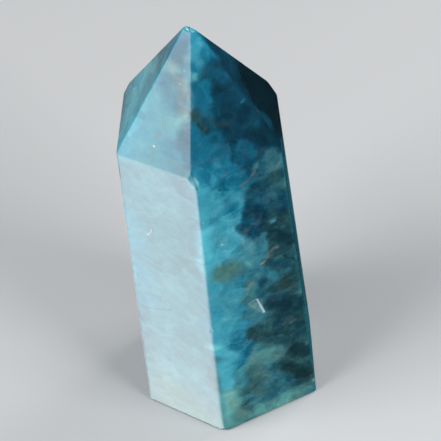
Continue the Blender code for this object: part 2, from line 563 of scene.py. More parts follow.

# %% [markdown]
# ## Marks placed from the photo
#
# No two pieces of apatite are alike, so the zones, veins and flashes that this one shows are
# placed one by one. Some of them are painted light and shade: the flashes and glints are painted
# highlights, and a few zones are painted shade or glow. Each mark is given by where it starts and
# ends in the picture. A ray from the camera through that point lands on the solid, which turns the
# place into one on the stone, so that the mark stays put from every side.

# %% Turn a point of the picture into a point on the stone
solid = BVHTree.FromPolygons(
    [v.co.copy() for v in stone_cad.data.vertices],
    [tuple(p.vertices) for p in stone_cad.data.polygons],
)

SEARCH = 50 * MM  # how far before and behind the middle of the stone a ray is searched

def on_stone(pixel):
    """Where the camera's ray through a point of the picture meets the stone, or passes closest."""
    x, y = (value - PHOTO_SIZE / 2 for value in pixel)
    ray = (picture_right * x - picture_up * y - backward * FOCAL_PIXELS).normalized()
    hit = solid.ray_cast(eye, ray)[0]
    if hit is None:
        steps = np.linspace(CAMERA_DISTANCE - SEARCH, CAMERA_DISTANCE + SEARCH, 101)
        near = [solid.find_nearest(eye + ray * step) for step in steps]
        hit = min(near, key=lambda found: found[3])[0]
    return hit

print("the dark dot lies at", (on_stone((219.5, 190)) / MM).to_tuple(1))

# %% [markdown]
# ## The stone's inner look
#
# Polished apatite is cloudy: light enters it, scatters on zones, healed cracks and wisps, and
# comes back out. A picture wrapped round the stone would tear at its edges. Patterns in
# three dimensions go right through it instead, so each zone runs on round every ridge, as it
# does in the real stone. Five small shader groups make the kinds of pattern that it needs.

# %% Shader groups
def shader_group(name, inputs):
    """An empty shader group with named inputs, each given as (socket type, usual value)."""
    group = bpy.data.node_groups.new(name, "ShaderNodeTree")
    for label, (kind, value) in inputs.items():
        socket = group.interface.new_socket(label, in_out="INPUT", socket_type=kind)
        if value is not None:
            socket.default_value = value
    return group, group.nodes.new("NodeGroupInput").outputs

def close(group, **results):
    """Gives a group its outputs, by name."""
    for label in results:
        group.interface.new_socket(label, in_out="OUTPUT", socket_type=FLOAT)
    add(group, "NodeGroupOutput", results)

def use(tree, group, output=0, **values):
    """Places a group in a tree, with its inputs given by name."""
    made = tree.nodes.new("ShaderNodeGroup")
    made.node_tree = group
    for label, value in values.items():
        fill(tree, made.inputs[label], value)
    return made.outputs[output]

def as_vector(tree, colour):
    """A colour's parts as a vector. A direct link would make the renderer keep more values."""
    parts = add(tree, "ShaderNodeSeparateColor", {0: colour}).outputs
    return add(tree, "ShaderNodeCombineXYZ", dict(enumerate(parts))).outputs[0]

# %% [markdown]
# The blue is never even: it thickens and thins like smoke. Plain noise keeps near its middle
# value, so the cloud is noise that is stretched over the whole range.

# %% A cloud: soft noise, stretched to use the whole range from 0 to 1
clouds, got = shader_group("clouds", {
    "Point": (VECTOR, None), "Size": (FLOAT, 5.0), "Detail": (FLOAT, 3.0),
    "Roughness": (FLOAT, 0.5), "Low": (FLOAT, 0.3), "High": (FLOAT, 0.7), "Seed": (FLOAT, 0.0),
})
shifted = vector(clouds, "SCALE", (37.0, 17.0, 71.0), got["Seed"])
cloud = add(clouds, "ShaderNodeTexNoise", {
    "Vector": vector(clouds, "ADD", got["Point"], shifted),
    "Scale": calc(clouds, "DIVIDE", 1.0, got["Size"]),
    "Detail": got["Detail"], "Roughness": got["Roughness"],
})
close(clouds, Value=ramp(clouds, cloud.outputs[0], got["Low"], got["High"], curve="LINEAR"))
print("clouds:", len(clouds.nodes), "nodes")

# %% [markdown]
# Crystal that broke and grew together again shows as plates with clear borders, each of its own
# shade. Noise has no borders, but a packing of flat-sided cells has them.

# %% Plates: a packing of flat-sided cells, each shaded from one side to the other
plates, got = shader_group("plates", {
    "Point": (VECTOR, None), "Size": (FLOAT, 6.0), "Slope": (FLOAT, 1.0),
    "Border Width": (FLOAT, 0.15),
})
per_mm = calc(plates, "DIVIDE", 1.0, got["Size"])
cell = add(plates, "ShaderNodeTexVoronoi", {"Vector": got["Point"], "Scale": per_mm})
tint = cell.outputs["Color"]
from_middle = vector(plates, "SUBTRACT", got["Point"], cell.outputs["Position"])
lean = vector(plates, "SUBTRACT", as_vector(plates, tint), (0.5, 0.5, 0.5))
slope = product(plates, vector(plates, "DOT_PRODUCT", from_middle, lean), per_mm)
own = add(plates, "ShaderNodeSeparateColor", {0: tint}).outputs[0]
shade = calc(plates, "ADD", own, product(plates, slope, got["Slope"]))
wall = add(plates, "ShaderNodeTexVoronoi", {"Vector": got["Point"], "Scale": per_mm},
           feature="DISTANCE_TO_EDGE")
from_wall = product(plates, wall.outputs["Distance"], got["Size"])
close(plates, Shade=shade, Border=ramp(plates, from_wall, 0.0, got["Border Width"], 1.0, 0.0))
print("plates:", len(plates.nodes), "nodes")

# %% [markdown]
# A healed crack is a thin sheet that winds through the stone, and the polished surface cuts it
# to a hairline. A drawn line would have no depth. The places where a noise passes through its
# middle value make such a sheet, and a second noise ends it here and there, as a crack ends.

# %% A vein: the thin sheet where a noise passes through its middle value, in places only
veins, got = shader_group("veins", {
    "Point": (VECTOR, None), "Size": (FLOAT, 8.0), "Width": (FLOAT, 0.01),
    "Cover": (FLOAT, 0.5), "Seed": (FLOAT, 0.0),
})
shifted = vector(veins, "SCALE", (53.0, 29.0, 13.0), got["Seed"])
moved_point = vector(veins, "ADD", got["Point"], shifted)
sheet = add(veins, "ShaderNodeTexNoise", {
    "Vector": moved_point, "Scale": calc(veins, "DIVIDE", 1.0, got["Size"]), "Detail": 1.5,
})
from_sheet = calc(veins, "ABSOLUTE", calc(veins, "SUBTRACT", sheet.outputs[0], 0.5))
line = ramp(veins, from_sheet, 0.0, got["Width"], 1.0, 0.0)
where = add(veins, "ShaderNodeTexNoise", {
    "Vector": vector(veins, "ADD", moved_point, (91.0, 5.0, 33.0)),
    "Scale": calc(veins, "DIVIDE", 1.5, got["Size"]), "Detail": 2.0,
})
limit = calc(veins, "SUBTRACT", 0.75, calc(veins, "MULTIPLY", got["Cover"], 0.5))
there = ramp(veins, where.outputs[0], limit, calc(veins, "ADD", limit, 0.08))
close(veins, Mask=product(veins, line, there))
print("veins:", len(veins.nodes), "nodes")

# %% [markdown]
# Grains of other minerals are scattered thinly. Only some cells of a packing get one, so the
# grains are neither in rows nor in clumps.

# %% A speck: small grains, in some of the cells of a loose packing
specks, got = shader_group("specks", {
    "Point": (VECTOR, None), "Spacing": (FLOAT, 2.0), "Radius": (FLOAT, 0.1),
    "Share": (FLOAT, 0.3),
})
grains = add(specks, "ShaderNodeTexVoronoi", {
    "Vector": got["Point"], "Scale": calc(specks, "DIVIDE", 1.0, got["Spacing"]),
})
pick = add(specks, "ShaderNodeSeparateColor", {0: grains.outputs["Color"]}).outputs[0]
picked = calc(specks, "LESS_THAN", pick, got["Share"])
far = product(specks, grains.outputs["Distance"], got["Spacing"])
core = product(specks, got["Radius"], 0.4)
round_grain = ramp(specks, far, core, got["Radius"], 1.0, 0.0)
close(specks, Mask=product(specks, picked, round_grain))
print("specks:", len(specks.nodes), "nodes")

# %% [markdown]
# What is placed one by one is a stroke or a dot with a soft border. It is the distance from a line
# in three dimensions, so it reaches into the stone as a real inclusion does, and a short line
# makes a dot.

# %% A mark: everything near the line from one point to another
NEVER_ZERO = 0.0001  # keeps a mark whose line has no length from dividing by zero
mark, got = shader_group("mark", {
    "Point": (VECTOR, None), "From": (VECTOR, None), "To": (VECTOR, None),
    "Radius": (FLOAT, 1.0), "Softness": (FLOAT, 0.5),
})
to_point = vector(mark, "SUBTRACT", got["Point"], got["From"])
length = vector(mark, "SUBTRACT", got["To"], got["From"])
square = calc(mark, "ADD", vector(mark, "DOT_PRODUCT", length, length), NEVER_ZERO)
share = calc(mark, "DIVIDE", vector(mark, "DOT_PRODUCT", to_point, length), square)
share = calc(mark, "MINIMUM", calc(mark, "MAXIMUM", share, 0.0), 1.0)
away_from_line = vector(mark, "DISTANCE", to_point, vector(mark, "SCALE", length, share))
blur = product(mark, got["Radius"], got["Softness"])
inner = calc(mark, "SUBTRACT", got["Radius"], blur)
outer = calc(mark, "ADD", got["Radius"], blur)
close(mark, Mask=ramp(mark, away_from_line, inner, outer, 1.0, 0.0))
print("mark:", len(mark.nodes), "nodes")

# %% [markdown]
# Nothing in a natural stone has a ruled border. The point at which a pattern is read is pushed
# about first, by a little for ragged borders and by more for bent ones. What is placed one by
# one gets only a small push, so that it stays in its place.

# %% The stone's coordinates
stone = bpy.data.materials.new("blue_apatite")
stone.use_nodes = True
net = stone.node_tree
skin = net.nodes["Principled BSDF"]
place = add(net, "ShaderNodeTexCoord").outputs["Object"]
point = vector(net, "SCALE", place, 1 / MM)  # in millimetres

def drift(base, size, amount, detail=2.0):
    """A push of up to half the amount in any direction, which changes over the given size."""
    made = add(net, "ShaderNodeTexNoise", {"Vector": base, "Scale": 1 / size, "Detail": detail})
    centred = vector(net, "SUBTRACT", as_vector(net, made.outputs["Color"]), (0.5, 0.5, 0.5))
    return vector(net, "SCALE", centred, amount)

ragged = vector(net, "ADD", point, drift(point, 0.7, 0.45))
wobbly = vector(net, "ADD", ragged, drift(point, 4.0, 2.4))
drifted = vector(net, "ADD", wobbly, drift(point, 11.0, 7.0))
placed = vector(net, "ADD", ragged, drift(point, 2.2, 1.1))  # for marks that must stay in place
swept = vector(net, "ADD", point, drift(point, 14.0, 6.0, 1.0))  # for veins, which run smooth
print("coordinates:", len(net.nodes), "nodes")

# %% [markdown]
# The depth of the colour is built up from large to small: broad zones, plates, wisps, mottling
# and a fine grain. Each adds a little or takes a little away, so that one value comes out. On
# the flats that face the camera the large ones step back, as the zones there are placed one by
# one.

# %% The stone's own light and dark
zones = use(net, clouds, Point=drifted, Size=16.0, Detail=1.0, Seed=2.0)
large_plates = use(net, plates, "Shade", Point=wobbly, Size=8.0, Slope=1.6)
small_plates = use(net, plates, "Shade", Point=drifted, Size=3.0, Slope=1.6)
walls = use(net, plates, "Border", Point=wobbly, **{"Size": 8.0, "Border Width": 0.28})
leaning = add(net, "ShaderNodeMapping", {
    "Vector": wobbly, "Rotation": (0.6, 0.5, 0.9), "Scale": (1.0, 0.35, 1.0),
}).outputs[0]
wisps = use(net, clouds, Point=leaning, Size=2.6, Detail=3.0, Low=0.52, High=0.72, Seed=5.0)
mottle = use(net, clouds, Point=ragged, Size=1.3, Detail=3.0, Roughness=0.6, Seed=7.0)
fine = use(net, clouds, Point=point, Size=0.32, Detail=2.0, Roughness=0.6, Seed=9.0)

def weighed(start, parts):
    """Adds up pairs of a value around one half and the amount that it may change the total by."""
    total = start
    for value, amount in parts:
        centred = calc(net, "SUBTRACT", value, 0.5)
        total = calc(net, "ADD", total, product(net, centred, amount))
    return total

def below(flat):
    """How deep a point lies below a flat, in millimetres."""
    along = vector(net, "DOT_PRODUCT", point, flat[1])
    return calc(net, "SUBTRACT", flat[2] / MM, along)

def near_flats(number):
    """1 on a side and the crown flat above it, fading to 0 a few millimetres below them."""
    depth = calc(net, "MINIMUM", below(sides[number]), below(crown[number]))
    return ramp(net, depth, 0.5, 4.0, 1.0, 0.0)

by_hand = calc(net, "MAXIMUM", near_flats(0), near_flats(1))  # here the zones are placed one by one
by_hand = calc(net, "MAXIMUM", by_hand, ramp(net, below(crown[2]), 0.5, 3.0, 1.0, 0.0))
elsewhere = calc(net, "SUBTRACT", 1.0, by_hand)
large = weighed(0.0, [(zones, 0.24), (large_plates, 0.18)])
large = product(net, large, ramp(net, by_hand, 0.0, 1.0, 1.0, 0.3, "LINEAR"))
pattern = weighed(large, [(small_plates, 0.09), (mottle, 0.11), (fine, 0.05)])
broken = use(net, clouds, Point=ragged, Size=2.5, Detail=2.0, Low=0.42, High=0.6, Seed=13.0)
pattern = calc(net, "ADD", pattern, product(net, wisps, 0.11))
pattern = calc(net, "ADD", pattern, product(net, walls, broken, 0.06))
pattern = calc(net, "SUBTRACT", pattern, 0.03)  # wisps and walls only add, so this balances them
calm_left = ramp(net, near_flats(0), 0.3, 1.0, 1.0, 0.65)
print("light and dark:", len(net.nodes), "nodes so far")

# %% [markdown]
# The zones are the layout of this very stone, such as the deep plate on the front right side,
# and some of them are painted light and shade. The black corner of the crown is painted shade,
# where that flat faces away from the light. The glow along the front ridge is painted light that
# shines through the thin corner, and the side darkens towards its right edge as painted shade.
# A painted map could hold them, but it would tear at the ridges. Each zone moves the light value
# towards its own, and the colour towards blue or green. The later ones lie over the earlier ones.

# %% Zones placed one by one
ZONES = (
    # (what it is, from, to, radius in mm, softness, how light and how green, from 0 to 1)
    ("front left side", (155, 200), (185, 390), 6.0, 0.6, 0.68, 0.42),
    ("foot of the front left side", (170, 395), (200, 420), 4.5, 0.8, 0.64, 1.00),
    ("left of the front left side", (130, 220), (145, 300), 2.2, 0.8, 0.70, 0.15),
    ("front left crown", (172, 80), (150, 150), 5.0, 0.7, 0.68, 0.34),
    ("top of the front left crown", (187, 42), (182, 80), 3.0, 0.8, 0.78, 0.28),
    ("left crown", (140, 80), (125, 130), 4.0, 0.8, 0.78, 0.15),
    ("crown", (215, 70), (260, 130), 6.0, 0.7, 0.20, 0.00),
    # painted shade: these three black zones darken the right part of the crown, which faces away
    # from the light
    ("black slope of the crown", (250, 72), (268, 86), 2.6, 0.6, 0.02, 0.00),
    ("black corner of the crown", (266, 86), (281, 112), 5.5, 0.7, 0.00, 0.00),
    ("black band along the ridge", (256, 84), (267, 104), 5.5, 0.35, 0.05, 0.00),
    ("left half of the crown", (196, 60), (196, 112), 2.0, 0.5, 0.46, 0.16),
    ("cream by the crown ridge", (186, 60), (187, 112), 0.6, 0.8, 0.58, 0.40),
    ("cream patch high on the crown", (163, 66), (178, 68), 0.8, 0.8, 0.62, 0.50),
    ("blue patch on the crown", (166, 84), (171, 90), 1.0, 0.5, 0.56, 0.20),
    ("cream band on the crown", (168, 124), (184, 119), 0.9, 0.8, 0.68, 0.50),
    ("blue plate on the crown", (168, 148), (184, 158), 1.3, 0.3, 0.62, 0.12),
    ("left of the shoulder", (203, 140), (215, 170), 3.2, 0.35, 0.40, 0.03),
    # painted light: lighter beside the front ridge, where light shines through the thin corner
    ("left half of the side", (214, 185), (232, 330), 3.6, 0.4, 0.67, 0.12),
    ("below the shoulder", (208, 174), (236, 183), 1.6, 0.7, 0.46, 0.03),
    ("beside the deep plate", (225, 194), (235, 212), 1.3, 0.7, 0.54, 0.05),
    ("pale below the olive patch", (213, 300), (232, 303), 1.5, 0.8, 0.67, 0.34),
    # partly the stone's greener tone, partly painted shade that darkens the side away from the
    # front ridge
    ("right half of the side", (278, 185), (300, 370), 4.0, 0.5, 0.30, 0.78),
    # painted shade along the right edge of the front right side
    ("dark margin, upper", (296, 225), (303, 300), 1.3, 0.7, 0.08, 0.50),
    ("dark margin, middle", (304, 300), (310, 345), 1.0, 0.6, 0.10, 0.50),
    ("bright top", (196, 44), (198, 56), 1.2, 0.6, 0.58, 0.26),
    ("ground tip", (188, 26), (194, 29), 0.8, 0.8, 0.58, 0.40),
    ("beside the bright top", (206, 48), (205, 58), 0.6, 0.7, 0.47, 0.21),
    ("pale spot on the crown ridge", (193.5, 76), (193.5, 77), 0.5, 0.7, 0.66, 0.70),
    ("gap below the bright top", (206, 70), (206, 79), 0.7, 0.5, 0.32, 0.22),
    ("cyan wisp", (214, 73), (226, 80), 0.8, 0.6, 0.33, 0.05),
    ("cyan wisp, upper", (213, 54), (219, 57), 0.5, 0.6, 0.37, 0.15),
    ("bright lens on the crown", (203, 87), (204, 101), 1.0, 0.35, 0.46, 0.04),
    # painted shadow: darkens a brownish zone of the crown
    ("painted shadow over the brown zone", (228, 120), (248, 134), 1.8, 0.45, 0.18, 0.10),
    ("stained corner", (195, 114), (197, 119), 0.9, 0.5, 0.30, 0.48),
    ("stained band", (205, 124), (207, 129), 0.9, 0.5, 0.28, 0.27),
    ("lighter streak", (256, 115), (268, 121), 1.3, 0.6, 0.30, 0.10),
    ("deep right shoulder", (266, 132), (278, 146), 1.5, 0.5, 0.12, 0.00),
    ("dark spot in the crown", (246, 108), (255, 114), 0.9, 0.7, 0.16, 0.02),
    ("glow on the shoulder", (214, 160), (218, 172), 1.8, 0.7, 0.48, 0.00),
    ("second lens", (243, 147), (248, 154), 1.1, 0.4, 0.39, 0.09),
    ("slit in the second lens", (235, 156), (247, 163), 0.7, 0.5, 0.32, 0.00),
    ("grey patch by the right shoulder", (271, 156), (276, 163), 1.4, 0.5, 0.48, 0.70),
    ("pale spot on the shoulder", (256, 164), (256, 165), 0.6, 0.6, 0.50, 0.48),
    # painted light: the glow along the front ridge, where light shines through the thin corner
    ("glow on the front ridge, upper", (203, 212), (205, 222), 0.8, 0.8, 0.72, 0.25),
    ("glow on the front ridge", (206, 234), (209, 268), 1.3, 0.8, 0.90, 0.10),
    ("glow on the ridge, middle", (209, 266), (211, 276), 1.2, 0.8, 0.82, 0.15),
    ("glow on the ridge, low", (215, 305), (222, 350), 1.0, 0.8, 0.68, 0.16),
    ("light middle", (224, 235), (240, 256), 2.0, 0.6, 0.74, 0.18),
    ("bay beside it", (247, 248), (254, 262), 1.5, 0.6, 0.64, 0.45),
    ("bay, right end", (263, 236), (263, 256), 0.8, 0.5, 0.55, 0.48),
    ("deep plate", (257, 200), (254, 224), 2.0, 0.25, 0.19, 0.08),
    ("deep plate, lower lobe", (244, 225), (256, 232), 1.0, 0.8, 0.32, 0.08),
    ("deep plate, right arm", (258, 190), (282, 204), 1.8, 0.35, 0.26, 0.25),
    ("light spot in the right arm", (273, 194), (274, 195), 0.6, 0.9, 0.33, 0.50),
    ("greyish patch", (281, 219), (283, 223), 0.7, 0.5, 0.28, 0.80),
    # painted highlight: a crack that catches the light
    ("glint", (272, 222), (273, 221), 0.45, 0.6, 0.50, 0.50),
    ("navy corner", (274, 234), (291, 240), 1.0, 0.4, 0.16, 0.48),
    ("pale cloud below the dot", (217, 203), (217, 206), 0.9, 0.7, 0.68, 0.10),
    ("light by the plate", (235, 196), (235, 198), 0.8, 0.6, 0.63, 0.10),
    ("dark right middle", (276, 264), (287, 262), 1.0, 0.5, 0.33, 0.40),
    ("cyan patch", (284, 271), (290, 271), 0.6, 0.6, 0.41, 0.46),
    ("cyan patch, left", (273, 275), (274, 277), 0.7, 0.6, 0.50, 0.50),
    ("below the bay", (250, 270), (266, 275), 1.1, 0.6, 0.58, 0.45),
    ("dark spot", (262, 281), (262, 283), 0.8, 0.6, 0.33, 0.27),
    ("olive patch", (224, 272), (234, 270), 1.9, 0.5, 0.58, 0.95),
    ("blue below the olive patch", (226, 287), (239, 285), 1.2, 0.5, 0.68, 0.25),
    ("tan wedge", (251, 284), (247, 300), 1.1, 0.5, 0.56, 0.80),
    ("veil by the flash", (255, 304), (256, 309), 1.2, 0.4, 0.54, 0.92),
    ("under the flash", (246, 315), (258, 316), 0.9, 0.6, 0.48, 0.56),
    ("pale below the tan wedge", (228, 315), (236, 317), 1.0, 0.6, 0.67, 0.25),
    ("deep right of the flash", (274, 301), (294, 306), 1.6, 0.5, 0.20, 0.47),
    ("dark lens", (254, 332), (275, 337), 1.7, 0.4, 0.30, 0.80),
    ("teal spot", (278, 322), (279, 328), 0.8, 0.6, 0.33, 0.36),
    ("teal spot, right", (296, 328), (298, 336), 0.8, 0.6, 0.31, 0.49),
    ("dark above the band", (294, 348), (308, 351), 1.0, 0.5, 0.15, 0.77),
    ("pale lens", (254, 361), (274, 355), 1.8, 0.4, 0.59, 1.00),
    ("grey below the pale lens", (253, 370), (262, 378), 1.4, 0.6, 0.46, 1.00),
    ("green black right foot", (288, 368), (306, 373), 1.0, 0.5, 0.16, 0.88),
    ("teal middle", (280, 377), (290, 383), 1.2, 0.6, 0.42, 0.50),
    ("blue by the wedge", (238, 335), (240, 364), 1.1, 0.6, 0.59, 0.08),
    ("above the wedge", (217, 350), (234, 357), 1.1, 0.6, 0.84, 0.20),
    ("wedge", (226, 366), (229, 383), 1.5, 0.5, 0.80, 0.18),
    ("right of the wedge", (240, 385), (245, 402), 1.0, 0.6, 0.42, 0.72),
    ("pale beside the wedge", (238, 373), (243, 384), 0.9, 0.7, 0.62, 0.50),
    ("lower middle", (252, 386), (262, 392), 1.2, 0.6, 0.41, 0.90),
    ("teal shelf", (264, 408), (290, 398), 1.6, 0.6, 0.68, 0.90),
    ("end of the shelf", (296, 393), (311, 386), 1.1, 0.7, 0.54, 1.00),
    ("foot of the ridge", (229, 396), (233, 420), 1.5, 0.9, 0.80, 1.00),
    ("brown near the foot", (246, 405), (249, 410), 0.9, 0.6, 0.39, 0.84),
    ("pale at the foot", (238, 416), (246, 418), 1.2, 0.6, 0.60, 0.95),
)

def mask_of(base, start, end, radius, softness):
    """Where a mark is, around the line between two points of the picture."""
    return use(net, mark, Point=base, From=on_stone(start) / MM, To=on_stone(end) / MM,
               Radius=radius, Softness=softness)

def toward(values, base, zones):
    """Moves several values at once to the ones that each zone gives, inside that zone."""
    for _, start, end, radius, softness, *targets in zones:
        mask = mask_of(base, start, end, radius, softness)
        for number, target in enumerate(targets):
            inputs = {0: mask, 2: values[number], 3: target}
            made = add(net, "ShaderNodeMix", inputs, data_type="FLOAT")
            values[number] = made.outputs[0]
    return values

USUAL_LIGHT = 0.46
# The third value starts at 1 and goes to 0 in every zone, so it is what the zones leave untouched.
starts = [USUAL_LIGHT, 0.0, 1.0]
level, turning, untouched = toward(starts, placed, [(*zone, 0.0) for zone in ZONES])
between = use(net, clouds, Point=drifted, Size=8.0, Detail=3.0, Seed=11.0)
turning = calc(net, "ADD", turning, product(net, between, untouched))
lively = product(net, calm_left, ramp(net, level, 0.02, 0.35, 0.15, 1.0, "LINEAR"))
light = calc(net, "ADD", level, product(net, pattern, lively))
stirred = use(net, clouds, Point=ragged, Size=1.1, Detail=3.0, Roughness=0.65, Seed=17.0)
stirring = weighed(-0.03, [(wisps, 0.2), (stirred, 0.22)])
turning = calc(net, "ADD", turning, stirring)
print(len(ZONES), "zones placed")

# %% [markdown]
# Milky apatite looks pale aqua, and clear apatite of some depth is nearly black. Where iron
# has crept in, the blue turns to a greyish green. Two colour ramps give the blue stone and the
# green one for every light value, and the zones say how much there is of each.

# %% From light and dark to blue
STUDIO = 0.75  # how bright a white card would look on the stone's right side, from 0 to 1

def shown(red, green, blue):
    """The stone's own colour where the picture shows this one, from 0 to 255 each."""
    values = []
    for value in (red, green, blue):
        value = value / 255
        linear = value / 12.92 if value <= 0.04045 else ((value + 0.055) / 1.055) ** 2.4
        values.append(min(linear / STUDIO, 0.95))
    return (*values, 1.0)

def colour_ramp(value, stops):
    """A Color Ramp with the given (place, colour) stops."""
    made = add(net, "ShaderNodeValToRGB", {0: value})
    bar = made.color_ramp
    bar.elements[0].position, bar.elements[0].color = stops[0]
    bar.elements[1].position, bar.elements[1].color = stops[-1]
    for at, shade in stops[1:-1]:
        bar.elements.new(at).color = shade
    return made.outputs["Color"]

def mix(share, first, second):
    """Two colours, mixed by a share from 0 to 1."""
    made = add(net, "ShaderNodeMix", data_type="RGBA")
    for number, value in ((0, share), (6, first), (7, second)):
        fill(net, made.inputs[number], value)
    return made.outputs[2]

blue = colour_ramp(light, (
    (0.0, shown(5, 18, 24)), (0.25, shown(17, 64, 84)), (0.5, shown(24, 108, 134)),
    (0.75, shown(70, 160, 179)), (1.0, shown(120, 206, 214)),
))
green = colour_ramp(light, (
    (0.0, shown(15, 34, 36)), (0.25, shown(38, 73, 73)), (0.5, shown(75, 121, 120)),
    (0.75, shown(104, 161, 155)), (1.0, shown(156, 199, 188)),
))
body = mix(turning, blue, green)
print("deep blue:", [round(part, 3) for part in shown(17, 64, 84)[:3]])

# %% [markdown]
# Tiny bubbles make a milky haze in patches, healed cracks show white or are stained by rust,
# and grains sit here and there. All of them run through the whole stone, so they are patterns
# that lie over its colour. The cracks and the grains step back where marks are placed one by one.

# %% Milky haze and hairlines that run through the whole stone
MILK = shown(172, 200, 205)
RUST = shown(122, 112, 90)
GRAIN = shown(170, 180, 165)
haze = use(net, clouds, Point=ragged, Size=1.7, Detail=4.0, Roughness=0.65, Low=0.5, High=0.8,
           Seed=19.0)
healed = use(net, veins, Point=swept, Size=13.0, Width=0.010, Cover=0.5, Seed=3.0)
hazy = toward([0.09], placed, (
    ("milky middle of the front right", (232, 220), (250, 262), 3.0, 0.8, 0.18),
    ("milky patch by the right shoulder", (262, 150), (282, 175), 1.5, 0.8, 0.22),
    ("milky lower middle", (256, 352), (276, 385), 2.0, 0.8, 0.18),
    ("clear crown", (205, 60), (262, 125), 6.0, 0.5, 0.03),
))[0]
milky = calc(net, "ADD", product(net, haze, hazy), product(net, healed, elsewhere, 0.12))
milky = product(net, milky, lively)
body = mix(milky, body, MILK)
rusty = use(net, veins, Point=swept, Size=15.0, Width=0.008, Cover=0.45, Seed=8.0)
rusty = product(net, rusty, ramp(net, stirred, 0.3, 0.6))
body = mix(product(net, rusty, elsewhere, 0.6), body, RUST)
grains = use(net, specks, Point=ragged, Spacing=2.4, Radius=0.13, Share=0.18)
body = mix(product(net, grains, elsewhere, 0.45), body, GRAIN)
print("haze, cracks and grains laid over the colour")
